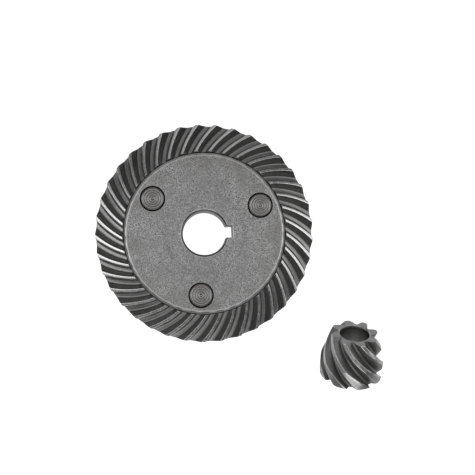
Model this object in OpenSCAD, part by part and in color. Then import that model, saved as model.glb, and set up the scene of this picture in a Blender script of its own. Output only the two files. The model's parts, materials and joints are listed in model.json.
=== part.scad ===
// Spiral bevel gear pair for a 90 degree drive, in millimetres.
// A 37-tooth wheel (toothed ring, keyed hub, three drive pins) and an 8-tooth bored pinion.
// Origin: centre of the wheel bore, on the seat face of the hub. +Z follows the wheel axis to the teeth.
// The pinion is built in mesh with the wheel and then laid aside, next to the wheel, by one turn
// about the lay-aside axis. Turning it back about that axis brings the teeth into mesh.

/* [Tooth system] */
// Number of teeth on the wheel
wheel_teeth = 37; // [36:1:38]
// Number of teeth on the pinion
pinion_teeth = 8; // [8:1:9]
// Transverse module at the outer end of the teeth
module_outer = 2; // [1.95:0.01:2.05]
// Diameter of the cylinder that the inner ends of the wheel teeth lie on
teeth_inner_d = 55.4; // [55.2:0.1:56]
// Diameter of the cylinder that the outer ends of the wheel teeth lie on
teeth_outer_d = 74.1; // [73:0.1:74.4]
// Spiral angle at the middle of the teeth, in degrees
spiral_angle = 35.5; // [33:0.5:37]
// Radius of the face-mill cutter that curves the teeth lengthwise
cutter_radius = 32; // [28:1:60]
// Pressure angle across the tooth, in degrees
pressure_angle = 20; // [19:0.5:21]
// Transverse thickness of a pinion tooth at the outer pitch circle
pinion_tooth_thickness = 4.8; // [4.7:0.05:4.9]
// Transverse backlash at the outer pitch circle
backlash = 0.25; // [0.2:0.01:0.3]

/* [Tooth depths at the outer end] */
// Height of a pinion tooth above its pitch cone
pinion_addendum = 2.58; // [2.4:0.02:2.7]
// Depth of a pinion tooth space below its pitch cone
pinion_dedendum = 0.3; // [0.25:0.01:0.35]
// Height of a wheel tooth above its pitch cone
wheel_addendum = 0.1; // [0.02:0.01:0.12]
// Depth of a wheel tooth space below its pitch cone
wheel_dedendum = 3.5; // [3:0.1:3.6]

/* [Wheel] */
// Distance from the hub seat face to the cone apex
wheel_mounting_distance = 20; // [20:0.1:20.5]
// Bore diameter of the hub
wheel_bore_d = 15; // [12:0.5:16]
// Width of the keyway
keyway_w = 4; // [3:0.5:5]
// Distance from the bore centre to the keyway floor
keyway_floor = 9.6; // [9.2:0.1:10]
// Angle of the keyway around the bore, in degrees
keyway_angle = 3.4; // [0:0.1:10]
// Diameter of the hub disc seen inside the teeth
hub_disc_d = 54; // [52.6:0.1:54.4]
// Diameter of the hub spigot and of the boss behind the wheel
hub_spigot_d = 26; // [24:0.5:28]
// Height of the hub disc face above the seat face
hub_h = 12; // [11.6:0.1:12.2]
// Thickness of the hub disc
hub_disc_t = 4; // [3.5:0.1:4.2]
// Height of the toothed ring's back face above the seat face
ring_back_z = 5; // [4.5:0.1:5.5]
// Diameter of a drive pin
drive_pin_d = 8.3; // [7:0.1:8.4]
// Radius of the circle that the drive pins stand on
drive_pin_circle_r = 21.2; // [21:0.1:21.3]
// Angle of the first drive pin, in degrees
drive_pin_angle = 26.6; // [0:0.1:119]
// Depth of the drive pin faces below the hub disc face
drive_pin_recess = 0.15; // [0:0.05:0.5]

/* [Pinion] */
// Distance from the cone apex to the pinion's seat face
pinion_mounting_distance = 43.5; // [42:0.1:44]
// Bore diameter of the pinion
pinion_bore_d = 10; // [9:0.1:10]
// Distance from the cone apex to the pinion's small end
pinion_small_end = 27.8; // [27.6:0.1:28.2]
// Diameter of the cylinder that cuts the teeth off behind the crest
pinion_outer_d = 21.4; // [21.2:0.1:21.6]

/* [Thrust washers] */
// Outer diameter of the washer under the hub
wheel_washer_d = 26; // [22:0.5:28]
// Thickness of the washer under the hub
wheel_washer_t = 1; // [0.5:0.1:1]
// Outer diameter of the washer behind the pinion
pinion_washer_d = 13.4; // [12.5:0.1:15]
// Thickness of the washer behind the pinion
pinion_washer_t = 0.5; // [0.3:0.1:0.8]

/* [Laying aside] */
// Direction around the wheel axis in which the pinion lies when it is in mesh, in degrees
mesh_azimuth = 271.5; // [270:0.5:273]
// Compass direction of the lay-aside axis, in degrees
lay_azimuth = 261.8; // [261:0.1:262.5]
// Rise of the lay-aside axis above the wheel plane, in degrees
lay_elevation = -13.7; // [-14.5:0.1:-13]
// Turn from the laid-aside place into mesh, in degrees
lay_angle = 120; // [115:0.5:121]
// Point on the lay-aside axis
lay_pivot = [27.9, -6.3, 9.2]; // [-40:0.1:40]

/* [Hidden] */

steel = "silver";
dark_steel = "dimgray";
washer_steel = "lightsteelblue";
round_fn = 96;
// Length of the cuts past the faces they cut
over = 1;

// Cones and spheres of the tooth system
cone_outer = module_outer / 2 * norm([wheel_teeth, pinion_teeth]);
pinion_cone = atan2(pinion_teeth, wheel_teeth);
wheel_cone = 90 - pinion_cone;
cone_mean = (teeth_inner_d + teeth_outer_d) / 4 / sin(wheel_cone);
transverse_pressure = atan(tan(pressure_angle) / cos(spiral_angle));
pinion_base = asin(sin(pinion_cone) * cos(transverse_pressure));
wheel_base = asin(sin(wheel_cone) * cos(transverse_pressure));
pinion_tip = pinion_cone + atan(pinion_addendum / cone_outer);
pinion_root = pinion_cone - atan(pinion_dedendum / cone_outer);
wheel_tip = wheel_cone + atan(wheel_addendum / cone_outer);
wheel_root = wheel_cone - atan(wheel_dedendum / cone_outer);

// Half the angle that a tooth takes up at its pitch cone
degrees_per_mm_wheel = 180 / PI / (module_outer * wheel_teeth);
degrees_per_mm_pinion = 180 / PI / (module_outer * pinion_teeth);
wheel_tooth_thickness = PI * module_outer - pinion_tooth_thickness - backlash;
wheel_half = wheel_tooth_thickness * degrees_per_mm_wheel;
pinion_half = pinion_tooth_thickness * degrees_per_mm_pinion;

// Root corners, as a height above the root cone and a turn into the space, in degrees
wheel_fillet = [0.6, 0.5];
pinion_fillet = [0.35, 1.6];

// Facets: steps up a flank and sections along the teeth
wheel_flank_steps = 3;
pinion_flank_steps = 5;
wheel_sections = 7;
mesh_sections = 8;
heel_sections = 5;

// The wheel's tooth 0 is turned to this angle at the middle of the teeth
wheel_phase = 2.85;
// A pinion tooth stands in a wheel space where the two pitch cones touch, turned a little inside its
// play so that it swings out of mesh without touching a flank
play_turn = -0.35;
pinion_roll = (wheel_phase + 180 / wheel_teeth - mesh_azimuth) * wheel_teeth / pinion_teeth + play_turn;

// Body of the toothed ring
web_top_z = hub_h - hub_disc_t;
disc_clearance = 0.05;
groove_depth = 1.1;
ring_cut_r = 11.5;
ring_rim_chamfer = 0.8;

// Chamfers
bore_chamfer = 0.6;
disc_chamfer = 0.25;
pin_chamfer = 0.35;
seat_chamfer = 0.5;
pinion_bore_chamfer = 0.25;
washer_clearance = 0.25;
dimple_r = 0.5;
drive_pin_count = 3;

// Distance from the axis of the lengthwise tooth curve to the cone apex
cutter_centre = sqrt(pow(cone_mean, 2) + pow(cutter_radius, 2)
                     - 2 * cone_mean * cutter_radius * sin(spiral_angle));

// Angle at the apex between the cutter centre and the tooth, at cone distance c
function cutter_turn(c) = acos((c * c + pow(cutter_centre, 2) - pow(cutter_radius, 2))
                               / (2 * c * cutter_centre));

// How far the tooth has swept round the apex since the middle of the face, at cone distance c
function sweep(c) = cutter_turn(c) - cutter_turn(cone_mean);

// Angle by which a spherical involute has left its base cone at a polar angle
function involute(polar, base) = acos(min(1, cos(polar) / cos(base))) / sin(base)
                                 - acos(min(1, tan(base) / tan(polar)));

// One flank from root to tip: [polar angle, half the tooth's angle there]
function flank(root, tip, cone, base, half, lift, turn, steps) =
    let(start = root + lift)
    concat([[root, half + involute(cone, base) - involute(start, base) + turn]],
           [for (i = [0 : steps])
                let(polar = start + (tip - start) * i / steps)
                [polar, half + involute(cone, base) - involute(polar, base)]]);

// A whole tooth, from the middle of the space before it to its far root corner
function tooth(side, pitch) =
    concat([[side[0][0], -pitch / 2]],
           [for (p = side) [p[0], -p[1]]],
           [for (i = [len(side) - 1 : -1 : 0]) side[i]]);

// All the teeth of a gear, as [polar angle, angle round the axis]
function gear_outline(one_tooth, teeth) =
    [for (t = [0 : teeth - 1]) for (p = one_tooth) [p[0], p[1] + 360 * t / teeth]];

wheel_tooth = tooth(flank(wheel_root, wheel_tip, wheel_cone, wheel_base, wheel_half,
                          wheel_fillet[0], wheel_fillet[1], wheel_flank_steps), 360 / wheel_teeth);
wheel_outline = gear_outline(wheel_tooth, wheel_teeth);

// Distance from the apex at which the pinion's tooth tips meet the cylinder that cuts them off
crest_z = pinion_outer_d / 2 / tan(pinion_tip);

// A point at a radius, a turn and a height
function at(r, turn, z) = [r * cos(turn), r * sin(turn), z];

// The wheel's teeth where a cylinder of radius r cuts them
function wheel_section(r) =
    [for (p = wheel_outline)
        at(r, p[1] + wheel_phase + sweep(r / sin(p[0])) / sin(wheel_cone),
           wheel_mounting_distance - r / tan(p[0]))];

// The pinion's teeth at height z. Its apex is at its own origin and its seat face is at +Z.
function pinion_section(z) =
    let(tip = min(pinion_tip, atan(pinion_outer_d / 2 / z)),
        side = flank(pinion_root, tip, pinion_cone, pinion_base, pinion_half,
                     pinion_fillet[0], pinion_fillet[1], pinion_flank_steps))
    [for (p = gear_outline(tooth(side, 360 / pinion_teeth), pinion_teeth))
        at(z * tan(p[0]), p[1] + sweep(z / cos(p[0])) / sin(pinion_cone), z)];

// Points in rings of n, one after the other
function joined(rings) = [for (ring = rings) for (p = ring) p];

// Two triangles for each step round the strip between the rings that start at a and at b
function strip(a, b, n) =
    [for (j = [0 : n - 1]) let(k = (j + 1) % n) each [[a + j, b + j, b + k], [a + j, b + k, a + k]]];

// A cap from the ring that starts at a to the single point c
function fan(a, c, n) = [for (j = [0 : n - 1]) [a + j, a + (j + 1) % n, c]];

// The strip from a tooth section at a, with k points a tooth, to a plain ring at b, with two a tooth
function tooth_strip(a, b, teeth, k) =
    [for (t = [0 : teeth - 1])
        let(s = a + t * k, low = b + 2 * t, top = low + 1,
            next = b + 2 * ((t + 1) % teeth), last = a + ((t + 1) % teeth) * k)
        each concat([[low, s, s + 1], [low, s + 1, s + 2], [low, s + 2, top]],
                    [for (i = [2 : k - 3]) [top, s + i, s + i + 1]],
                    [[top, s + k - 2, next], [next, s + k - 2, s + k - 1], [next, s + k - 1, last]])];

function flipped(faces) = [for (f = faces) [f[2], f[1], f[0]]];

// Two points a tooth, under the middle of each space and of each tooth
function plain_ring(r, z, turn) =
    [for (t = [0 : 2 * wheel_teeth - 1]) at(r, turn + 180 * (t - 1) / wheel_teeth, z)];

// The toothed ring before it is bored
module ring_blank() {
    k = len(wheel_tooth);
    n = len(wheel_outline);
    m = 2 * wheel_teeth;
    inner_r = teeth_inner_d / 2;
    outer_r = teeth_outer_d / 2;
    seat_r = hub_disc_d / 2 + disc_clearance;
    groove_z = hub_h - groove_depth;
    sections = [for (i = [0 : wheel_sections - 1])
                    wheel_section(inner_r + (outer_r - inner_r) * i / (wheel_sections - 1))];
    toe_turn = wheel_phase + sweep(inner_r / sin(wheel_cone)) / sin(wheel_cone);
    heel_turn = wheel_phase + sweep(outer_r / sin(wheel_cone)) / sin(wheel_cone);
    toe = [plain_ring(ring_cut_r, web_top_z, toe_turn), plain_ring(seat_r, web_top_z, toe_turn),
           plain_ring(seat_r, groove_z, toe_turn), plain_ring(inner_r, groove_z, toe_turn)];
    heel = [plain_ring(outer_r, ring_back_z + ring_rim_chamfer, heel_turn),
            plain_ring(outer_r - ring_rim_chamfer, ring_back_z, heel_turn),
            plain_ring(ring_cut_r, ring_back_z, heel_turn)];
    groove = (len(toe) - 1) * m;
    first = groove + m;
    last = first + (wheel_sections - 1) * n;
    rim = last + n;
    back = rim + (len(heel) - 1) * m;
    faces = concat([for (a = [0 : m : groove - m]) each strip(a, a + m, m)],
                   tooth_strip(first, groove, wheel_teeth, k),
                   [for (a = [first : n : last - n]) each strip(a, a + n, n)],
                   flipped(tooth_strip(last, rim, wheel_teeth, k)),
                   [for (a = [rim : m : back - m]) each strip(a, a + m, m)],
                   strip(back, 0, m));
    polyhedron(points = joined(concat(toe, sections, heel)), faces = flipped(faces));
}

// The pinion before it is bored, with its apex at the origin and its seat face at +Z
module pinion_blank() {
    planes = concat([for (i = [0 : mesh_sections - 1])
                         pinion_small_end + (crest_z - pinion_small_end) * i / mesh_sections],
                    [for (i = [0 : heel_sections])
                         crest_z + (pinion_mounting_distance - crest_z) * i / heel_sections]);
    sections = [for (z = planes) pinion_section(z)];
    n = len(sections[0]);
    count = len(planes) * n;
    faces = concat([for (a = [0 : n : count - 2 * n]) each strip(a, a + n, n)],
                   fan(0, count, n),
                   flipped(fan(count - n, count + 1, n)));
    centres = [[0, 0, pinion_small_end], [0, 0, pinion_mounting_distance]];
    polyhedron(points = concat(joined(sections), centres), faces = faces);
}

// A round hole from z0 to z1
module bore_cut(d, z0, z1) {
    translate([0, 0, z0 - over]) cylinder(d = d, h = z1 - z0 + 2 * over, $fn = round_fn);
}

// A chamfer round the upper end of a hole, at height z
module upper_chamfer(d, z, chamfer) {
    translate([0, 0, z - chamfer])
        cylinder(d1 = d, d2 = d + 2 * (chamfer + over), h = chamfer + over, $fn = round_fn);
}

// Puts its children on the drive pin circle, at pin number i
module on_pin_circle(i) {
    rotate([0, 0, drive_pin_angle + 360 * (i - 1) / drive_pin_count])
        translate([drive_pin_circle_r, 0, 0]) children();
}

// Puts the pinion's own frame in mesh with the wheel
module in_mesh() {
    translate([0, 0, wheel_mounting_distance]) rotate([0, 0, mesh_azimuth]) rotate([0, 90, 0])
        rotate([0, 0, pinion_roll]) children();
}

// Turns what is in mesh out to where it lies beside the wheel
module laid_aside() {
    axis = [cos(lay_elevation) * cos(lay_azimuth), cos(lay_elevation) * sin(lay_azimuth), sin(lay_elevation)];
    translate(lay_pivot) rotate(a = -lay_angle, v = axis) translate(-lay_pivot) children();
}

// Ring of teeth with the web that the hub disc sits on
module toothed_ring() {
    color(steel) difference() {
        ring_blank();
        bore_cut(hub_spigot_d, ring_back_z, web_top_z);
        for (i = [1 : drive_pin_count]) on_pin_circle(i) bore_cut(drive_pin_d, ring_back_z, web_top_z);
    }
}

// Disc, spigot and boss with the keyed bore
module hub() {
    disc_r = hub_disc_d / 2;
    spigot_r = hub_spigot_d / 2;
    color(steel) difference() {
        rotate_extrude($fn = round_fn) polygon([
            [wheel_bore_d / 2 - over, 0], [spigot_r - seat_chamfer, 0], [spigot_r, seat_chamfer],
            [spigot_r, web_top_z], [disc_r, web_top_z], [disc_r, hub_h - disc_chamfer],
            [disc_r - disc_chamfer, hub_h], [wheel_bore_d / 2 - over, hub_h]]);
        bore_cut(wheel_bore_d, 0, hub_h);
        upper_chamfer(wheel_bore_d, hub_h, bore_chamfer);
        rotate([0, 0, keyway_angle]) translate([0, -keyway_w / 2, -over])
            cube([keyway_floor, keyway_w, hub_h + 2 * over]);
        for (i = [1 : drive_pin_count]) on_pin_circle(i) {
            bore_cut(drive_pin_d, web_top_z, hub_h);
            upper_chamfer(drive_pin_d, hub_h, pin_chamfer);
        }
    }
}

// Pin that locks the hub disc to the web, with a turned face and a centre dimple
module drive_pin(i) {
    pin_r = drive_pin_d / 2;
    face_z = hub_h - drive_pin_recess;
    color(dark_steel) on_pin_circle(i) rotate_extrude($fn = round_fn) polygon([
        [0, ring_back_z], [pin_r - pin_chamfer, ring_back_z], [pin_r, ring_back_z + pin_chamfer],
        [pin_r, face_z - pin_chamfer], [pin_r - pin_chamfer, face_z],
        [dimple_r, face_z], [0, face_z - dimple_r]]);
}

// Washer under the hub, fixed in the housing and clear of the keyway
module wheel_thrust_washer() {
    bore_r = norm([keyway_floor, keyway_w / 2]) + washer_clearance;
    color(washer_steel) translate([0, 0, -wheel_washer_t]) difference() {
        cylinder(d = wheel_washer_d, h = wheel_washer_t, $fn = round_fn);
        translate([0, 0, -over]) cylinder(r = bore_r, h = wheel_washer_t + 2 * over, $fn = round_fn);
    }
}

// Small gear with a plain bore
module pinion() {
    color(steel) laid_aside() in_mesh() difference() {
        pinion_blank();
        bore_cut(pinion_bore_d, pinion_small_end, pinion_mounting_distance);
        upper_chamfer(pinion_bore_d, pinion_mounting_distance, pinion_bore_chamfer);
        translate([0, 0, pinion_small_end]) mirror([0, 0, 1]) upper_chamfer(pinion_bore_d, 0, pinion_bore_chamfer);
    }
}

// Washer behind the pinion, fixed in the housing
module pinion_thrust_washer() {
    color(washer_steel) laid_aside() in_mesh() translate([0, 0, pinion_mounting_distance]) difference() {
        cylinder(d = pinion_washer_d, h = pinion_washer_t, $fn = round_fn);
        translate([0, 0, -over])
            cylinder(d = pinion_bore_d + 2 * washer_clearance, h = pinion_washer_t + 2 * over, $fn = round_fn);
    }
}

toothed_ring();
hub();
drive_pin(1);  // drive_pin_1
drive_pin(2);  // drive_pin_2
drive_pin(3);  // drive_pin_3
wheel_thrust_washer();
pinion();
pinion_thrust_washer();
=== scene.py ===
"""Spiral bevel gear pair: the finished surfaces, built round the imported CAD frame.

Lengths are in millimetres, and MM turns them into Blender's metres. Angles are in radians unless a name
says degrees. Both gears are made from the same cone and involute formulas as the CAD solids, with finer steps
and softened edges.
"""
import json
from math import acos, asin, atan, atan2, cos, hypot, pi, radians, sin, sqrt, tan

import bmesh
import bpy
import numpy as np
from mathutils import Matrix, Vector
from mathutils.geometry import tessellate_polygon


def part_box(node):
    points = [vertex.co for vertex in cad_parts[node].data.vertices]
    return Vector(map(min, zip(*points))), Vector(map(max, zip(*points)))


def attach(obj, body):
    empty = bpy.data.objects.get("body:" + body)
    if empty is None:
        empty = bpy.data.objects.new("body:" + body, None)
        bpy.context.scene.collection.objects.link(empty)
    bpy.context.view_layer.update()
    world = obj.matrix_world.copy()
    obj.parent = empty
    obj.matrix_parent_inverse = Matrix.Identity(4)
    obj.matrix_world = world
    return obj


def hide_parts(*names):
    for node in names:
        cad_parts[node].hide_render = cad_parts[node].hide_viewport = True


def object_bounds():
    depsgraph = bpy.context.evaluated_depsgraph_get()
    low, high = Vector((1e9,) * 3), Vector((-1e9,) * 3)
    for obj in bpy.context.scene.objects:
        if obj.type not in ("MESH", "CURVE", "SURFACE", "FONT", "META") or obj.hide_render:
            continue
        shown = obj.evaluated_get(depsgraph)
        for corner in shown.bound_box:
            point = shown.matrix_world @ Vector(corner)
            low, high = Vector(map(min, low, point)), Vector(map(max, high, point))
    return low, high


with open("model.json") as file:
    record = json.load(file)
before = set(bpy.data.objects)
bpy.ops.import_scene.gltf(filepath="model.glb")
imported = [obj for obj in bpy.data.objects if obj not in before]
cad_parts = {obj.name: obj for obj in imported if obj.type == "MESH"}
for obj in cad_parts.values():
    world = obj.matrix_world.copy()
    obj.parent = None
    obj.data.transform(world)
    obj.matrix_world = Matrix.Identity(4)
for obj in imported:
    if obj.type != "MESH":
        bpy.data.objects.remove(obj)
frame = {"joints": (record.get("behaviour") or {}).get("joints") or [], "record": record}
cad_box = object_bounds()
MM = 0.001

# ---------------------------------------------------------------- the frame's own facts
joints = {joint["name"]: joint for joint in frame["joints"]}
mounts = {mount["name"]: mount for mount in frame["record"]["mounts"]}


def box_mm(node):
    """Lowest and highest corner of a CAD node, in millimetres."""
    low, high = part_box(node)
    return np.array(low) / MM, np.array(high) / MM


swing = joints["pinion_swing"]
swing_pivot = Vector(swing["pos_m"])
into_mesh = (Matrix.Translation(swing_pivot)
             @ Matrix.Rotation(radians(swing["range_deg"][1]), 4, Vector(swing["axis"]))
             @ Matrix.Translation(-swing_pivot))
mesh_axis = into_mesh.to_3x3() @ Vector(joints["pinion_spin"]["axis"])
mesh_azimuth = atan2(mesh_axis.y, mesh_axis.x)
apex_z = (into_mesh @ Vector(joints["pinion_spin"]["pos_m"])).z / MM

HUB_TOP = box_mm("hub")[1][2]
DISC_R = box_mm("hub")[1][0]
RING_BACK = box_mm("toothed_ring")[0][2]
PIN_R = (box_mm("drive_pin_1")[1][0] - box_mm("drive_pin_1")[0][0]) / 2
PIN_TOP = box_mm("drive_pin_1")[1][2]
PINS = [(box_mm(f"drive_pin_{i}")[0] + box_mm(f"drive_pin_{i}")[1]) / 2 for i in (1, 2, 3)]
WHEEL_BORE_R = mounts["wheel_bore"]["dims"]["r_mm"]
PINION_BORE_R = mounts["pinion_bore"]["dims"]["r_mm"]
WHEEL_WASHER = box_mm("wheel_thrust_washer")
FLOOR_Z = cad_box[0][2]

# ---------------------------------------------------------------- dimensions, as in the CAD source
WHEEL_TEETH = 37
PINION_TEETH = 8
MODULE = 2
TEETH_INNER_R = 27.7
TEETH_OUTER_R = 37.05
SPIRAL = radians(35.5)
CUTTER_R = 32
PRESSURE = radians(20)
PINION_THICKNESS = 4.8
BACKLASH = 0.25
WHEEL_PHASE = radians(2.85)
PLAY_TURN = radians(-0.35)
PINION_SMALL_END = 27.8
PINION_SEAT = 43.5
PINION_OUTER_R = 10.7
WEB_TOP = 8.0
GROOVE_Z = 10.9
KEYWAY_HALF = 2.0
KEYWAY_FLOOR = 9.6
SPIGOT_R = 13.0
DISC_CLEARANCE = 0.05
WASHER_CLEARANCE = 0.25
PINION_WASHER_R = 6.7
PINION_WASHER_THICKNESS = 0.5

# ---------------------------------------------------------------- detail of the finished surfaces
# How far a surface stands back from another that it touches, so that the two never lie in one place
STAND_BACK = 0.01
WHEEL_TIP_RADIUS = 0.13
WHEEL_FLANK_STEPS = 7
PINION_TIP_RADIUS = 0.16
PINION_FLANK_STEPS = 9
FILLET_STEPS = 5
END_RADIUS = 0.1
FACE_SECTIONS = 22
CREST_SECTIONS = 7
BEHIND_CREST_SECTIONS = 14
ROUND_STEPS = 192
SMALL_ROUND_STEPS = 96
SHARP_DEGREES = 30
# A zone tells the material about a stretch of surface: [edge: wear and painted highlight, land: polish and
# painted
# highlight, deep: painted shade]. Deep is 1 in a root and 2 in a gap, where the painted shade is darkest.
PLAIN = (0, 0, 0)
# The next two zones are a painted highlight on an edge and painted shade in a gap.
EDGE_HIGHLIGHT = (1, 0, 0)
GAP_SHADE = (0, 0, 2)
# Painted light: the pinion's end faces are made lighter through the land share.
FACE_PAINTED_LIGHT = 0.45
PINION_FACE = (0, FACE_PAINTED_LIGHT, 0)
# Painted shade darkens the inside of the pinion's bore.
PINION_BORE = (0, 0, 1.35)

# ---------------------------------------------------------------- the tooth system, as in the CAD source
PINION_CONE = atan2(PINION_TEETH, WHEEL_TEETH)
CONE_OUTER = MODULE / 2 * hypot(WHEEL_TEETH, PINION_TEETH)
CONE_MEAN = (TEETH_INNER_R + TEETH_OUTER_R) / 2 / cos(PINION_CONE)
TRANSVERSE = atan(tan(PRESSURE) / cos(SPIRAL))
CUTTER_CENTRE = sqrt(CONE_MEAN ** 2 + CUTTER_R ** 2 - 2 * CONE_MEAN * CUTTER_R * sin(SPIRAL))


def sweep(distance):
    """How far a tooth has swept round the apex since the middle of its face."""
    def turn(c):
        """Angle at the apex between the cutter's centre and its circle, at the cone distance c."""
        return np.arccos((c * c + CUTTER_CENTRE ** 2 - CUTTER_R ** 2) / (2 * c * CUTTER_CENTRE))
    return turn(distance) - turn(CONE_MEAN)


def involute(polar, base):
    """Angle by which a spherical involute has left its base cone."""
    return (acos(min(1, cos(polar) / cos(base))) / sin(base)
            - acos(min(1, tan(base) / tan(polar))))


class Gear:
    """Cones and tooth thickness of one gear."""

    def __init__(self, teeth, cone, thickness, addendum, dedendum, root_radius, phase):
        self.teeth = teeth
        self.cone = cone
        self.base = asin(sin(cone) * cos(TRANSVERSE))
        self.half = thickness / (MODULE * teeth)
        self.tip = cone + atan(addendum / CONE_OUTER)
        self.root = cone - atan(dedendum / CONE_OUTER)
        self.root_radius = root_radius
        self.phase = phase

    def half_turn(self, polar):
        """Half the angle that a tooth takes up at a polar angle."""
        return self.half + involute(self.cone, self.base) - involute(polar, self.base)

    def turned_to(self, outline, distance):
        """The angle of each outline point [polar, turn] round the axis, at its distance from the apex."""
        return outline[:, 1] + self.phase + sweep(distance) / sin(self.cone)

    def on_cylinder(self, r, outline):
        """The outline where a cylinder of radius r cuts the teeth. +Z is away from the apex."""
        polar = outline[:, 0]
        angle = self.turned_to(outline, r / np.sin(polar))
        return np.stack([r * np.cos(angle), r * np.sin(angle), r / np.tan(polar)], 1)

    def on_plane(self, z, outline):
        """The outline where a plane at height z cuts the teeth."""
        polar = outline[:, 0]
        angle = self.turned_to(outline, z / np.cos(polar))
        r = z * np.tan(polar)
        return np.stack([r * np.cos(angle), r * np.sin(angle), np.full(len(r), z)], 1)


WHEEL = Gear(teeth=WHEEL_TEETH, cone=pi / 2 - PINION_CONE,
             thickness=pi * MODULE - PINION_THICKNESS - BACKLASH,
             addendum=0.1, dedendum=3.5, root_radius=0.5, phase=WHEEL_PHASE)
PINION = Gear(teeth=PINION_TEETH, cone=PINION_CONE, thickness=PINION_THICKNESS,
              addendum=2.58, dedendum=0.3, root_radius=0.35, phase=0)


def bezier(a, b, c, steps):
    """Points of the curve that leaves a towards b and arrives at c, both ends included."""
    t = np.linspace(0, 1, steps + 1)
    t = t.reshape(-1, *[1] * np.ndim(a))
    return (1 - t) ** 2 * np.asarray(a) + 2 * t * (1 - t) * np.asarray(b) + t ** 2 * np.asarray(c)


def tooth_side(gear, tip, tip_radius, flank_steps):
    """Half a tooth from the middle of its top land, at the polar angle tip, to the middle of the space, as
    rows of [across, up] in millimetres at the outer cone distance, and the zone of each."""
    def flat(polar, turn):
        """A point of the tooth, laid out flat."""
        return np.array([turn * sin(polar) * CONE_OUTER, (polar - gear.root) * CONE_OUTER])

    middle = flat(gear.root, pi / gear.teeth)
    reach = gear.root_radius
    low = gear.root + reach / CONE_OUTER
    flank = [flat(p, gear.half_turn(p)) for p in np.linspace(tip, low, flank_steps + 1)]
    slope = flank[-1] - flat(low + 0.002, gear.half_turn(low + 0.002))
    corner = flank[-1] + slope * (-flank[-1][1] / slope[1])
    fillet_end = corner + [min(reach, 0.8 * (middle[0] - corner[0])), 0]
    fillet = bezier(flank[-1], corner, fillet_end, FILLET_STEPS)
    edge_to = flank[0] + (flank[1] - flank[0]) * tip_radius / np.linalg.norm(flank[1] - flank[0])
    edge = bezier(flank[0] - [tip_radius, 0], flank[0], edge_to, 4)
    land = [np.array([0, flank[0][1]]), np.array([(flank[0][0] - tip_radius) * 0.6, flank[0][1]])]
    rows = land + list(edge) + flank[1:-1] + list(fillet) + [(fillet[-1] + middle) / 2, middle]
    # Edge and land rows are lighter, partly wear and polish and partly painted highlight; painted shade
    # deepens down the flank and the fillet into the root.
    zone = ([(0, 1, 0)] * 2 + [(0.4, 1, 0), (1, 1, 0), (1, 0.7, 0), (1, 0.3, 0), (0.4, 0, 0)]
            + [(0, 0, 0.5 * k / flank_steps) for k in range(1, flank_steps)]
            + [(0, 0, 0.5 + k / (2 * FILLET_STEPS)) for k in range(FILLET_STEPS + 1)] + [(0, 0, 1)] * 2)
    return np.array(rows), np.array(zone, float)


def outline(gear, tip_radius, flank_steps, inset=0.0, tip=None):
    """All the teeth as rows of [polar, turn], and their zones. Inset moves the outline into the metal, and
    tip is the polar angle of the top lands where it isn't the gear's own."""
    side, side_zone = tooth_side(gear, tip or gear.tip, tip_radius, flank_steps)
    left = side[:0:-1] * [-1, 1]
    whole = np.concatenate([left[1:], side])
    zone = np.concatenate([side_zone[:1:-1], side_zone])
    if inset:
        pitch = np.array([2 * side[-1][0], 0])
        before = np.concatenate([[whole[-1] - pitch], whole[:-1]])
        after = np.concatenate([whole[1:], [whole[0] + pitch]])
        along = (after - before) / np.linalg.norm(after - before, axis=1)[:, None]
        whole = whole + inset * np.stack([along[:, 1], -along[:, 0]], 1)
    polar = gear.root + whole[:, 1] / CONE_OUTER
    turn = whole[:, 0] / (np.sin(polar) * CONE_OUTER)
    one = np.stack([polar, turn], 1)
    step = 2 * pi / gear.teeth
    teeth = np.concatenate([one + [0, step * t] for t in range(gear.teeth)])
    return teeth, np.tile(zone, (gear.teeth, 1))


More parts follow.
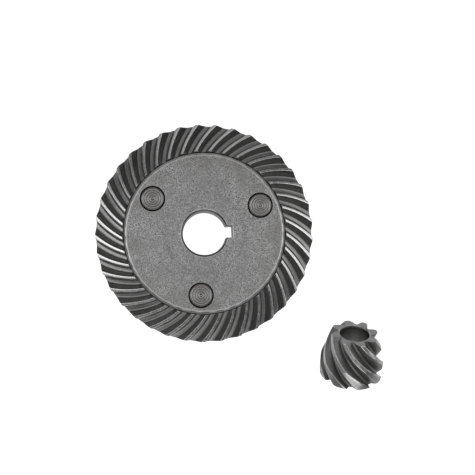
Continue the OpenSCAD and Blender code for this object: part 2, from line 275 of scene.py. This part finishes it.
# ---------------------------------------------------------------- meshes built from rows of points
class Shape:
    """Points in closed rows, and the faces between the rows."""

    def __init__(self):
        self.co = []
        self.zone = []
        self.faces = []

    def row(self, points, zone=PLAIN):
        """Adds a closed row of points. The zone is one for all of them, or one for each."""
        start = len(self.co)
        points = np.asarray(points, float)
        self.co.extend(points)
        self.zone.extend(np.broadcast_to(np.asarray(zone, float), (len(points), 3)))
        return start, len(points)

    def strip(self, a, b):
        """Quads between two rows of the same length."""
        n = a[1]
        for k in range(n):
            after = (k + 1) % n
            self.faces.append((a[0] + k, a[0] + after, b[0] + after, b[0] + k))

    def rows(self, rows, zones):
        """Adds rows with a strip between each and the next, and returns the first and the last."""
        made = [self.row(points, zone) for points, zone in zip(rows, zones)]
        for a, b in zip(made, made[1:]):
            self.strip(a, b)
        return made[0], made[-1]

    def fan(self, row, point):
        """Closes a row with triangles to one point."""
        tip = self.row([point])[0]
        for k in range(row[1]):
            self.faces.append((row[0] + k, row[0] + (k + 1) % row[1], tip))

    def flat(self, *rows):
        """A flat face at right angles to Z between one row and the rows inside it."""
        index = [start + k for start, n in rows for k in range(n)]
        loops = [[Vector((*self.co[start + k][:2], 0)) for k in range(n)] for start, n in rows]
        for triangle in tessellate_polygon(loops):
            self.faces.append(tuple(index[k] for k in triangle))

    def piece(self, name, material, matrix=Matrix.Identity(4), own_axis=True):
        """Makes the Blender object, closed and with its faces outward. The matrix places the object, so that
        turned marks go round its own axis, or without own_axis it places the mesh."""
        mesh = bpy.data.meshes.new(name)
        mesh.from_pydata([tuple(p * MM) for p in self.co], [], self.faces)
        if not own_axis:
            mesh.transform(matrix)
        zone = mesh.attributes.new("zone", "FLOAT_COLOR", "POINT")
        colours = np.c_[np.array(self.zone), np.ones(len(self.zone))].astype(np.float32)
        zone.data.foreach_set("color", colours.ravel())
        work = bmesh.new()
        work.from_mesh(mesh)
        bmesh.ops.recalc_face_normals(work, faces=work.faces)
        work.to_mesh(mesh)
        work.free()
        mesh.shade_smooth()
        mesh.set_sharp_from_angle(angle=radians(SHARP_DEGREES))
        mesh.materials.append(material)
        thing = bpy.data.objects.new(name, mesh)
        bpy.context.scene.collection.objects.link(thing)
        if own_axis:
            thing.matrix_world = matrix
        normals = thing.modifiers.new("even_normals", "WEIGHTED_NORMAL")
        normals.keep_sharp = True
        return thing


def at_turns(r, z, turns, centre=(0, 0)):
    """A row of points round a circle, at the angles turns."""
    x, y = centre[0] + r * np.cos(turns), centre[1] + r * np.sin(turns)
    return np.stack([x, y, np.full(len(turns), z)], 1)


def circle(r, z, n=ROUND_STEPS, centre=(0, 0)):
    """A row of n even points round a circle."""
    return at_turns(r, z, np.linspace(0, 2 * pi, n, endpoint=False), centre)


def even_turns(row):
    """Evenly spread angles that stay close to those of a row's points."""
    turns = np.unwrap(np.arctan2(row[:, 1], row[:, 0]))
    spread = 2 * pi * np.arange(len(turns)) / len(turns)
    return spread + np.mean(turns - spread)


def softened(corners, steps=3):
    """A profile of corners (r, z, radius), with each that has a radius rounded: rows of [r, z, edge]."""
    made = []
    for k, (x, y, radius) in enumerate(corners):
        here = np.array([x, y])
        if not radius:
            made.append([x, y, 0])
            continue
        before, after = np.array(corners[k - 1][:2]), np.array(corners[(k + 1) % len(corners)][:2])
        back, on = before - here, after - here
        a = here + back * min(radius / np.linalg.norm(back), 0.45)
        b = here + on * min(radius / np.linalg.norm(on), 0.45)
        made.extend([*p, 1] for p in bezier(a, here, b, steps))
    return made


def turned(shape, profile, n=ROUND_STEPS, centre=(0, 0)):
    """Adds a turned surface along a profile of [r, z, edge] and returns its first and last row."""
    # Rounded rows take the edge zone, lighter partly with wear and partly with a painted highlight.
    return shape.rows([circle(r, z, n, centre) for r, z, _ in profile],
                      [(edge, 0, 0) for _, _, edge in profile])


# ---------------------------------------------------------------- materials
class Nodes:
    """A short way to write a material's nodes."""

    def __init__(self, name):
        self.material = bpy.data.materials.new(name)
        self.material.use_nodes = True
        self.tree = self.material.node_tree
        self.shader = self.tree.nodes["Principled BSDF"]
        self.place = self.add("ShaderNodeTexCoord").outputs["Object"]

    def add(self, kind, inputs=None, **settings):
        """Adds a node, with each input linked to a socket or set to a value."""
        node = self.tree.nodes.new(kind)
        for key, value in settings.items():
            setattr(node, key, value)
        for key, value in (inputs or {}).items():
            if isinstance(value, bpy.types.NodeSocket):
                self.tree.links.new(value, node.inputs[key])
            else:
                node.inputs[key].default_value = value
        return node

    def noise(self, size_mm, detail, roughness=0.6):
        """Noise whose features are about size_mm across."""
        inputs = {"Vector": self.place, "Scale": 1 / (size_mm * MM), "Detail": detail, "Roughness": roughness}
        return self.add("ShaderNodeTexNoise", inputs).outputs["Fac"]

    def ramp(self, value, low, high, out_low=0.0, out_high=1.0):
        """A value between low and high, carried on to out_low to out_high and held there."""
        inputs = {"Value": value, "From Min": low, "From Max": high, "To Min": out_low, "To Max": out_high}
        return self.add("ShaderNodeMapRange", inputs).outputs["Result"]

    def math(self, operation, a, b=0.0):
        """One operation on a value, or on two."""
        return self.add("ShaderNodeMath", {0: a, 1: b}, operation=operation).outputs[0]

    def mix(self, share, a, b):
        """A colour from a to b."""
        node = self.add("ShaderNodeMix", {0: share, 6: a, 7: b}, data_type="RGBA")
        return node.outputs[2]

    def bump(self, height, depth_mm, below=None):
        """A bump of a height from 0 to 1, depth_mm deep, over the bump below it."""
        inputs = {"Height": height, "Distance": depth_mm * MM, "Strength": 1.0}
        if below is not None:
            inputs["Normal"] = below
        return self.add("ShaderNodeBump", inputs).outputs["Normal"]

    def link(self, value, socket):
        """Links a value to one of the shader's sockets."""
        self.tree.links.new(value, self.shader.inputs[socket])


def grey(value, warm=0.0):
    """A grey colour, which leans to brown with warm above 0."""
    return (value * (1 + warm), value, value * (1 - warm), 1.0)


def steel(name, tone, rough, grain_mm=0.45, grain_depth=0.004, mottle=0.12, warm=0.0, turned_mm=None,
          turned_depth=0.002, turned_tone=0.0, anisotropy=0.0, ring=None, land_tone=None, root_shade_share=0.35):
    """Bare steel: mottled tone, blasted or turned surface, edges lighter with wear and painted highlight, and
    gaps dark with painted shade.

    turned_mm is the pitch of turning marks. ring is a darker band round the axis: inner mm, outer mm and
    share.
    land_tone is the tone of lighter tooth lands, partly polish and partly painted highlight; the last
    argument is the share of painted shade that darkens the roots on such a gear."""
    cloud_mm, patch_mm, wear_and_glint_mm = 7.3, 1.6, 2.3
    darkening_from, darkening_to = 19, 27
    inner_blur, outer_blur = 0.3, 0.4
    n = Nodes(name)
    n.shader.inputs["Metallic"].default_value = 1.0
    colours = n.add("ShaderNodeAttribute", attribute_name="zone").outputs["Color"]
    edge, land, deep = n.add("ShaderNodeSeparateColor", {0: colours}).outputs
    speckle = n.noise(grain_mm, 3.0, 0.7)
    cloud = n.noise(cloud_mm, 6.0, 0.7)
    patchy = n.noise(patch_mm, 4.0)
    across = n.add("ShaderNodeVectorMath", {0: n.place, 1: (1, 1, 0)}, operation="MULTIPLY").outputs[0]
    out = n.add("ShaderNodeVectorMath", {0: across}, operation="LENGTH").outputs["Value"]
    dark_grain, light_grain = grey(tone * (1 - mottle), warm * 1.5), grey(tone * (1 + mottle), warm)
    colour = n.mix(n.ramp(speckle, 0.36, 0.64), dark_grain, light_grain)
    colour = n.mix(n.ramp(cloud, 0.4, 0.68, 0, 0.6), colour, grey(tone * 0.75, warm * 2))
    roughness = n.ramp(patchy, 0.3, 0.7, rough - 0.05, rough + 0.07)
    normal = n.bump(speckle, grain_depth)
    if ring:
        inner, outer, share = ring
        band = n.math("MULTIPLY", n.ramp(out, (inner - inner_blur) * MM, (inner + inner_blur) * MM),
                      n.ramp(out, (outer + outer_blur) * MM, (outer - outer_blur) * MM))
        band = n.math("MULTIPLY", band, n.ramp(patchy, 0.3, 0.6, 0.3, 1.0))
        colour = n.mix(n.math("MULTIPLY", band, share), colour, grey(tone * 0.5, warm))
        # Towards the rim the disc turns darker and browner in patches, partly stain and partly painted shade.
        outward = n.ramp(out, darkening_from * MM, darkening_to * MM)
        stain_and_rim_shade = n.math("MULTIPLY", outward, n.ramp(cloud, 0.42, 0.62))
        colour = n.mix(n.math("MULTIPLY", stain_and_rim_shade, 0.55), colour, grey(tone * 0.55, 0.06))
    if turned_mm:
        wander = n.math("MULTIPLY", patchy, turned_mm * 0.5 * MM)
        waves = n.math("MULTIPLY", n.math("ADD", out, wander), 2 * pi / (turned_mm * MM))
        lines = n.ramp(n.math("SINE", waves), -1, 1)
        colour = n.mix(n.math("MULTIPLY", lines, turned_tone), colour, grey(tone * 2.6, warm))
        normal = n.bump(lines, turned_depth, normal)
    # Lands lighter, partly polish and partly painted highlight; roots darker with painted shade.
    if land_tone:
        polish_and_sheen = n.math("MULTIPLY", land, n.ramp(patchy, 0.3, 0.6, 0.55, 0.75))
        colour = n.mix(polish_and_sheen, colour, grey(land_tone))
        colour = n.mix(n.math("MULTIPLY", deep, root_shade_share), colour, grey(tone * 0.6, 0.03))
        roughness = n.math("SUBTRACT", roughness, n.math("MULTIPLY", land, 0.08))
    # Painted shade: a gap darkens towards a fifth of the tone as deep goes from 1 to 2.
    colour = n.mix(n.ramp(deep, 1.0, 2.0), colour, grey(tone * 0.2, 0.05))
    # Edges turn lighter, partly with wear and partly with a painted highlight.
    worn_and_glint = n.math("MULTIPLY", edge, n.ramp(n.noise(wear_and_glint_mm, 3.0), 0.3, 0.6, 0.5, 1.0))
    colour = n.mix(worn_and_glint, colour, grey(0.9))
    roughness = n.math("SUBTRACT", roughness, n.math("MULTIPLY", worn_and_glint, 0.12))
    n.link(colour, "Base Color")
    n.link(roughness, "Roughness")
    n.link(normal, "Normal")
    if anisotropy:
        n.shader.inputs["Anisotropic"].default_value = anisotropy
        n.shader.inputs["Anisotropic Rotation"].default_value = 0.25
        n.link(n.add("ShaderNodeTangent", direction_type="RADIAL", axis="Z").outputs[0], "Tangent")
    return n.material


tooth_steel = steel("tooth_steel", 0.42, 0.34, mottle=0.18, land_tone=0.72)
disc_steel = steel("disc_steel", 0.45, 0.42, grain_mm=0.29, mottle=0.75, grain_depth=0.007,
                   ring=(13.2, 14.1, 0.3))
pin_steel = steel("pin_steel", 0.175, 0.26, grain_mm=0.31, mottle=0.5, warm=0.03,
                  turned_mm=0.8, turned_depth=0.045, turned_tone=0.85, anisotropy=0.7)
pinion_steel = steel("pinion_steel", 0.33, 0.4, mottle=0.25, grain_depth=0.002,
                     land_tone=0.95, root_shade_share=0.7)
washer_steel = steel("washer_steel", 0.5, 0.3, turned_mm=0.25, anisotropy=0.3)


# ---------------------------------------------------------------- gear bodies
def end_rows(gear, section, place, inward, tip_radius, flank_steps, tip=None, face=PLAIN):
    """Rows that round the edge between the teeth and an end face at a place, from the face to the teeth.
    section is on_cylinder or on_plane, inward is the way into the gear, 1 or -1, and face is the end face's
    own zone."""
    full, zone = outline(gear, tip_radius, flank_steps, 0, tip)
    small, _ = outline(gear, tip_radius, flank_steps, END_RADIUS, tip)
    support, _ = outline(gear, tip_radius, flank_steps, 2 * END_RADIUS, tip)
    on_teeth = section(place + inward * END_RADIUS, full)
    rounded = bezier(section(place, small), section(place, full), on_teeth, 4)
    # The rounded end rows are lighter, partly wear and partly painted highlight; on the end face the roots
    # get a little painted shade.
    worn_and_glint = zone.copy()
    worn_and_glint[:, 0] = np.maximum(zone[:, 0], (1 - zone[:, 2]) * 0.6)
    end_face = zone * [0.2, 0, 0.4] + face
    return [section(place, support)] + list(rounded), [end_face] + [worn_and_glint] * 4 + [zone]


def toothed_ring():
    """The wheel's ring of teeth, with its web, the groove round the disc and its holes for the drive pins."""
    shape = Shape()
    tip_radius, steps = WHEEL_TIP_RADIUS, WHEEL_FLANK_STEPS
    rim_r = TEETH_OUTER_R - STAND_BACK
    teeth, zone = outline(WHEEL, tip_radius, steps)
    toe, toe_zone = end_rows(WHEEL, WHEEL.on_cylinder, TEETH_INNER_R, 1, tip_radius, steps)
    heel, heel_zone = end_rows(WHEEL, WHEEL.on_cylinder, rim_r, -1, tip_radius, steps)
    inside = np.linspace(TEETH_INNER_R + 2 * END_RADIUS, TEETH_OUTER_R - 2 * END_RADIUS, FACE_SECTIONS)
    middle = [WHEEL.on_cylinder(r, teeth) for r in inside]
    rows = [row * [1, 1, -1] + [0, 0, apex_z] for row in toe + middle + heel[::-1]]
    zones = toe_zone + [zone] * len(middle) + heel_zone[::-1]
    toe_turns = even_turns(rows[0])
    heel_turns = even_turns(rows[-1])

    seat_r, groove_edge = DISC_R + DISC_CLEARANCE, 0.15
    wall = softened([(seat_r, WEB_TOP, 0), (seat_r, GROOVE_Z, 0.08),
                     (TEETH_INNER_R - groove_edge, GROOVE_Z, 0), (TEETH_INNER_R, GROOVE_Z + groove_edge, 0)])
    rim_height, rim_chamfer, back_margin = 2.5, 0.8, 1.3
    rim = softened([(rim_r, RING_BACK + rim_height, 0), (rim_r, RING_BACK + rim_chamfer, 0.2),
                    (rim_r - rim_chamfer, RING_BACK, 0.2), (rim_r - back_margin, RING_BACK, 0)])
    rows = ([at_turns(r, z, toe_turns) for r, z, _ in wall] + rows
            + [at_turns(r, z, heel_turns) for r, z, _ in rim])
    # Painted shade darkens the wall of the groove round the disc; its rounded edge and the rim's are lighter,
    # partly wear and partly painted highlight.
    zones = ([(edge * 0.3, 0, 2 - edge) for _, _, edge in wall] + zones
             + [(edge, 0, 0) for _, _, edge in rim])
    first, last = shape.rows(rows, zones)

    spigot_r, bore_margin, bore_chamfer = SPIGOT_R + STAND_BACK, 0.8, 0.2
    bore = softened([(spigot_r + bore_margin, RING_BACK, 0), (spigot_r + bore_chamfer, RING_BACK, 0.1),
                     (spigot_r, RING_BACK + bore_chamfer, 0.1), (spigot_r, WEB_TOP, 0)])
    bore_back, bore_top = turned(shape, bore)
    hole_r, hole_margin, hole_chamfer = PIN_R + STAND_BACK, 0.5, 0.15
    hole = softened([(PIN_R + hole_margin, RING_BACK, 0), (PIN_R + hole_chamfer, RING_BACK, 0.1),
                     (hole_r, RING_BACK + hole_chamfer, 0.1), (hole_r, WEB_TOP, 0)])
    holes_back, holes_top = [], []
    for pin in PINS:
        back, top = turned(shape, hole, SMALL_ROUND_STEPS, pin[:2])
        holes_back.append(back)
        holes_top.append(top)
    shape.flat(first, bore_top, *holes_top)
    shape.flat(last, bore_back, *holes_back)
    return shape.piece("ring_of_teeth", tooth_steel)


def crest_tip(z):
    """Polar angle of the pinion's tooth tips at height z: a cone, cut by a cylinder behind the crest."""
    cone_r, cylinder_r, softness = z * tan(PINION.tip), PINION_OUTER_R, 0.08
    r = (cone_r + cylinder_r - hypot(cone_r - cylinder_r, softness)) / 2
    return atan(r / z)


def pinion_place():
    """Where the pinion's own frame, with its apex at the origin and +Z away from it, is at rest."""
    apex = Matrix.Translation(Vector((0, 0, apex_z * MM)))
    roll = (WHEEL.phase + pi / WHEEL_TEETH - mesh_azimuth) * WHEEL_TEETH / PINION_TEETH + PLAY_TURN
    in_mesh = (apex @ Matrix.Rotation(mesh_azimuth, 4, "Z") @ Matrix.Rotation(pi / 2, 4, "Y")
               @ Matrix.Rotation(roll, 4, "Z"))
    return into_mesh.inverted() @ in_mesh


def pinion():
    """The small gear: teeth cut off by a cylinder behind the crest, flat ends and a plain bore."""
    shape = Shape()
    tip_radius, steps, small_end = PINION_TIP_RADIUS, PINION_FLANK_STEPS, PINION_SMALL_END
    crest = PINION_OUTER_R / tan(PINION.tip)
    toe, toe_zone = end_rows(PINION, PINION.on_plane, small_end, 1, tip_radius, steps,
                             crest_tip(small_end), PINION_FACE)
    seat, seat_zone = end_rows(PINION, PINION.on_plane, PINION_SEAT, -1, tip_radius, steps,
                               crest_tip(PINION_SEAT), PINION_FACE)
    before_crest, near_crest, behind_crest, worn_and_glint_crest = 0.5, 0.3, 0.6, 0.25
    heights = np.concatenate([np.linspace(small_end + 2 * END_RADIUS, crest - before_crest, FACE_SECTIONS),
                              crest + np.linspace(-near_crest, near_crest, CREST_SECTIONS),
                              np.linspace(crest + behind_crest, PINION_SEAT - 2 * END_RADIUS,
                                          BEHIND_CREST_SECTIONS)])
    middle, zones = [], []
    for z in heights:
        teeth, zone = outline(PINION, tip_radius, steps, 0, crest_tip(z))
        # Behind the crest the lands are less light; along the crest the edge is lighter, partly wear and
        # partly painted highlight.
        if z > crest:
            zone[:, 1] *= 0.5
        if abs(z - crest) < worn_and_glint_crest:
            zone[:, 0] = np.maximum(zone[:, 0], 0.7 * zone[:, 1])
        middle.append(PINION.on_plane(z, teeth))
        zones.append(zone)
    first, last = shape.rows(toe + middle + seat[::-1], toe_zone + zones + seat_zone[::-1])

    r, chamfer, edge_radius = PINION_BORE_R, 0.25, 0.08
    bore = softened([(r + chamfer + 0.12, small_end, 0), (r + chamfer, small_end, edge_radius),
                     (r, small_end + chamfer, edge_radius), (r, small_end + 1, 0),
                     (r, PINION_SEAT - chamfer, edge_radius), (r + chamfer, PINION_SEAT, edge_radius),
                     (r + 1, PINION_SEAT, 0)])
    # Painted highlight on the bore's rounded edges, painted light on the end faces, painted shade inside the
    # bore.
    bore_front, bore_back = shape.rows(
        [circle(radius, z) for radius, z, _ in bore],
        [EDGE_HIGHLIGHT if edge else PINION_FACE if radius > r else PINION_BORE for radius, _, edge in bore])
    shape.flat(first, bore_front)
    shape.flat(last, bore_back)
    return shape.piece("small_gear", pinion_steel, pinion_place(), False)


# ---------------------------------------------------------------- hub, pins and washers
def keyed_loop(offset, z, keyway_angle, arc_points=150):
    """The bore with its keyway, moved into the metal by offset."""
    key_offset = 0.15 * min(offset, 0.6) + max(0, offset - 0.6)
    r, w, floor = WHEEL_BORE_R + offset, KEYWAY_HALF + key_offset, KEYWAY_FLOOR + key_offset
    half = asin(w / r)
    arc = np.linspace(half, 2 * pi - half, arc_points)
    points = [(r * cos(t), r * sin(t)) for t in arc]
    corner = 0.15
    points += [tuple(p) for p in bezier((floor - corner, -w), (floor, -w), (floor, -w + corner), 3)]
    points += [tuple(p) for p in bezier((floor, w - corner), (floor, w), (floor - corner, w), 3)]
    c, s = cos(keyway_angle), sin(keyway_angle)
    return np.array([(x * c - y * s, x * s + y * c, z) for x, y in points])


def hub():
    """The disc inside the teeth, with its spigot, boss, keyed bore and holes for the pins."""
    shape = Shape()
    face_margin, disc_radius, disc_steps = 0.8, 0.42, 6
    outside = softened([(DISC_R - face_margin, HUB_TOP, 0), (DISC_R, HUB_TOP, disc_radius),
                        (DISC_R, HUB_TOP - 1, 0), (DISC_R, WEB_TOP, 0)], disc_steps)
    top_outer, under_outer = turned(shape, outside)
    spigot_r, chamfer, edge_radius = SPIGOT_R - STAND_BACK, 0.5, 0.15
    boss = softened([(spigot_r, WEB_TOP, 0), (spigot_r, chamfer, edge_radius),
                     (spigot_r - chamfer, 0, edge_radius), (spigot_r - 2 * chamfer, 0, 0)])
    under_inner, seat_outer = turned(shape, boss)

    # Rows of the bore as (offset into the metal, z, zone): disc, painted highlight on the edge, then painted
    # shade on the chamfer, wall and seat
    key = mounts["wheel_keyway"]["pos_m"]
    keyway_angle = atan2(key[1], key[0])
    chamfer_top, chamfer_end = (0, 0, 1.6), (0, 0, 1.1)
    bore = [(1.0, HUB_TOP, PLAIN), (0.8, HUB_TOP, PLAIN),
            (0.68, HUB_TOP, EDGE_HIGHLIGHT), (0.62, HUB_TOP - 0.02, EDGE_HIGHLIGHT),
            (0.54, HUB_TOP - 0.08, chamfer_top), (0.3, HUB_TOP - 0.3, chamfer_top),
            (0.06, HUB_TOP - 0.54, chamfer_end), (0, HUB_TOP - 0.65, chamfer_end),
            (0, 2, (0, 0, 1.3)), (0, 0, (0, 0, 1)), (1.0, 0, PLAIN)]
    top_bore, seat_bore = shape.rows([keyed_loop(offset, z, keyway_angle) for offset, z, _ in bore],
                                     [zone for _, _, zone in bore])

    # Rows of a pin's hole as (gap to the pin, depth below the face, zone): a faint painted highlight on the
    # edge, then painted shade in the gap
    hole = [(0.5, 0, PLAIN), (0.34, 0, (0.35, 0, 0)), (0.26, 0.02, (0, 0, 1.4)), (0.15, 0.1, GAP_SHADE),
            (0.02, 0.3, GAP_SHADE), (0.02, HUB_TOP - WEB_TOP, GAP_SHADE)]
    top_holes, under_holes = [], []
    for pin in PINS:
        rows = [circle(PIN_R + gap, HUB_TOP - depth, SMALL_ROUND_STEPS, pin[:2]) for gap, depth, _ in hole]
        top, under = shape.rows(rows, [zone for _, _, zone in hole])
        top_holes.append(top)
        under_holes.append(under)
    shape.flat(top_outer, top_bore, *top_holes)
    shape.flat(under_outer, under_inner, *under_holes)
    shape.flat(seat_outer, seat_bore)
    return shape.piece("keyed_hub", disc_steel)


def drive_pin(i):
    """A pin through the disc and the web, with turned grooves and a centre dimple on its face."""
    shape = Shape()
    x, y = PINS[i][:2]
    chamfer, edge_radius, groove_count = 0.35, 0.1, 4
    first_groove_r, groove_pitch, groove_half, groove_depth = 0.9, 0.75, 0.15, 0.04
    grooves = []
    for k in range(groove_count):
        r = first_groove_r + groove_pitch * k
        grooves += [(r - groove_half, PIN_TOP, 0), (r, PIN_TOP - groove_depth, 0),
                    (r + groove_half, PIN_TOP, 0)]
    dimple = [(0.1, PIN_TOP - 0.12, 0), (0.35, PIN_TOP - 0.02, 0.05), (0.5, PIN_TOP, 0)]
    profile = softened([*dimple, *grooves,
                        (PIN_R - chamfer - 0.15, PIN_TOP, 0), (PIN_R - chamfer + 0.05, PIN_TOP - 0.05, 0),
                        (PIN_R - 0.03, PIN_TOP - chamfer - 0.1, 0), (PIN_R, PIN_TOP - 1, 0),
                        (PIN_R, RING_BACK + chamfer, edge_radius), (PIN_R - chamfer, RING_BACK, edge_radius),
                        (0.6, RING_BACK, 0)])
    # Painted shade lies on the upper chamfer, and a little way down the pin's side
    chamfer_r, shade_from, shade_to = 3, PIN_TOP - 0.045, PIN_TOP - 1.1
    zones = [GAP_SHADE if r > chamfer_r and shade_to < z < shade_from else PLAIN for r, z, _ in profile]
    top, back = shape.rows([circle(r, z, SMALL_ROUND_STEPS) for r, z, _ in profile], zones)
    shape.fan(top, (0, 0, PIN_TOP - 0.15))
    shape.fan(back, (0, 0, RING_BACK))
    return shape.piece(f"pin_{i + 1}", pin_steel, Matrix.Translation(Vector((x * MM, y * MM, 0))))


def washer(name, inner, outer, thickness, matrix):
    """A flat washer that stands on z = 0 in its own frame."""
    shape = Shape()
    inner_radius, outer_radius = 0.06, 0.12
    profile = softened([(inner, 0, inner_radius), (outer, 0, outer_radius), (outer, thickness, outer_radius),
                        (inner, thickness, inner_radius)])
    first, last = turned(shape, profile)
    shape.strip(last, first)
    return shape.piece(name, washer_steel, matrix)


def add_pieces():
    """Makes each piece, and says which body it moves with, which node it replaces."""
    ring = toothed_ring()
    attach(ring, "wheel")
    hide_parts("toothed_ring")
    disc = hub()
    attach(disc, "wheel")
    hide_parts("hub")
    for i in range(len(PINS)):
        pin = drive_pin(i)
        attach(pin, "wheel")
        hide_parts(f"drive_pin_{i + 1}")
    gear = pinion()
    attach(gear, "pinion")
    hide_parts("pinion")
    low, high = WHEEL_WASHER
    past_keyway = hypot(KEYWAY_FLOOR, KEYWAY_HALF) + WASHER_CLEARANCE
    under = washer("wheel_washer", past_keyway, high[0], high[2] - low[2],
                   Matrix.Translation(Vector((0, 0, low[2] * MM))))
    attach(under, "wheel_seat")
    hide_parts("wheel_thrust_washer")
    small = washer("pinion_washer", PINION_BORE_R + WASHER_CLEARANCE, PINION_WASHER_R,
                   PINION_WASHER_THICKNESS,
                   pinion_place() @ Matrix.Translation(Vector((0, 0, PINION_SEAT * MM))))
    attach(small, "pinion_seat")
    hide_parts("pinion_thrust_washer")


# ---------------------------------------------------------------- floor, lights and camera
def add_stage(name, points, faces, glow):
    """A plain white surface behind the object, left out of reflections because the metal would mirror it."""
    mesh = bpy.data.meshes.new(name)
    mesh.from_pydata(points, [], faces)
    thing = bpy.data.objects.new(name, mesh)
    bpy.context.scene.collection.objects.link(thing)
    thing.visible_glossy = False
    n = Nodes(name + "_white")
    n.shader.inputs["Base Color"].default_value = grey(0.9)
    n.shader.inputs["Roughness"].default_value = 0.9
    n.shader.inputs["Emission Color"].default_value = grey(1.0)
    n.shader.inputs["Emission Strength"].default_value = glow
    mesh.materials.append(n.material)
    return thing


def add_light(name, off_vertical, azimuth, distance, size, radiance):
    """A softbox that faces the object, placed in degrees off the vertical and round it, and metres away. Its
    brightness is the same at any size."""
    tilt, turn = radians(off_vertical), radians(azimuth)
    place = distance * Vector((sin(tilt) * cos(turn), sin(tilt) * sin(turn), cos(tilt)))
    light = bpy.data.lights.new(name, "AREA")
    light.shape = "RECTANGLE"
    light.size, light.size_y = size
    light.energy = radiance * size[0] * size[1] * pi
    thing = bpy.data.objects.new(name, light)
    thing.location = place
    thing.rotation_euler = (-place).to_track_quat("-Z", "Y").to_euler()
    bpy.context.scene.collection.objects.link(thing)


def add_studio():
    """The white floor and far walls, the softboxes, and a world that is brighter towards the ground."""
    far, wall = 3.0, 2.5
    corners = [(-far, -far), (far, -far), (far, far), (-far, far)]
    add_stage("floor", [(x, y, FLOOR_Z) for x, y in corners], [(0, 1, 2, 3)], 0.95)
    walls = add_stage("backdrop", [(x, y, z) for z in (FLOOR_Z, wall) for x, y in corners],
                      [(k, (k + 1) % 4, (k + 1) % 4 + 4, k + 4) for k in range(4)], 0.9)
    walls.visible_diffuse = False
    walls.visible_shadow = False

    # Name, degrees off the vertical, azimuth in degrees, metres away, size in metres, radiance
    add_light("top_box", 0, 0, 0.9, (0.5, 0.5), 0.55)
    add_light("left_box", 38, 180, 0.8, (0.35, 0.6), 1.5)
    add_light("low_left_box", 78, 170, 0.8, (0.6, 0.2), 0.9)
    add_light("right_box", 38, 0, 0.8, (0.35, 0.6), 1.3)
    add_light("low_right_box", 74, 0, 0.8, (0.6, 0.2), 1.3)
    add_light("back_box", 40, 90, 0.8, (0.6, 0.3), 0.5)
    add_light("front_box", 58, 270, 0.8, (0.7, 0.5), 1.15)

    # The metal mirrors the world, which fades from the ground up to the horizon
    world = bpy.data.worlds.new("studio")
    world.use_nodes = True
    tree = world.node_tree
    split = tree.nodes.new("ShaderNodeSeparateXYZ")
    tree.links.new(tree.nodes.new("ShaderNodeTexCoord").outputs["Generated"], split.inputs[0])
    fade = tree.nodes.new("ShaderNodeMapRange")
    for socket, value in (("From Min", -0.4), ("From Max", 0.0), ("To Min", 0.5), ("To Max", 0.08)):
        fade.inputs[socket].default_value = value
    tree.links.new(split.outputs["Z"], fade.inputs["Value"])
    tree.links.new(fade.outputs["Result"], tree.nodes["Background"].inputs["Strength"])
    tree.nodes["Background"].inputs["Color"].default_value = (1, 1, 1, 1)
    bpy.context.scene.world = world


def add_camera():
    """A camera close above the wheel, tilted a few degrees."""
    data = bpy.data.cameras.new("camera")
    data.sensor_width = 36
    data.angle = radians(32.15)
    data.clip_start = 0.01
    camera = bpy.data.objects.new("camera", data)
    camera.location = (-0.0048, -0.0120, 0.2920)
    camera.rotation_euler = (radians(2.138), radians(-3.255), radians(-0.163))
    bpy.context.scene.collection.objects.link(camera)
    bpy.context.scene.camera = camera


bpy.context.scene.view_settings.view_transform = "Standard"
add_camera()
add_studio()
add_pieces()
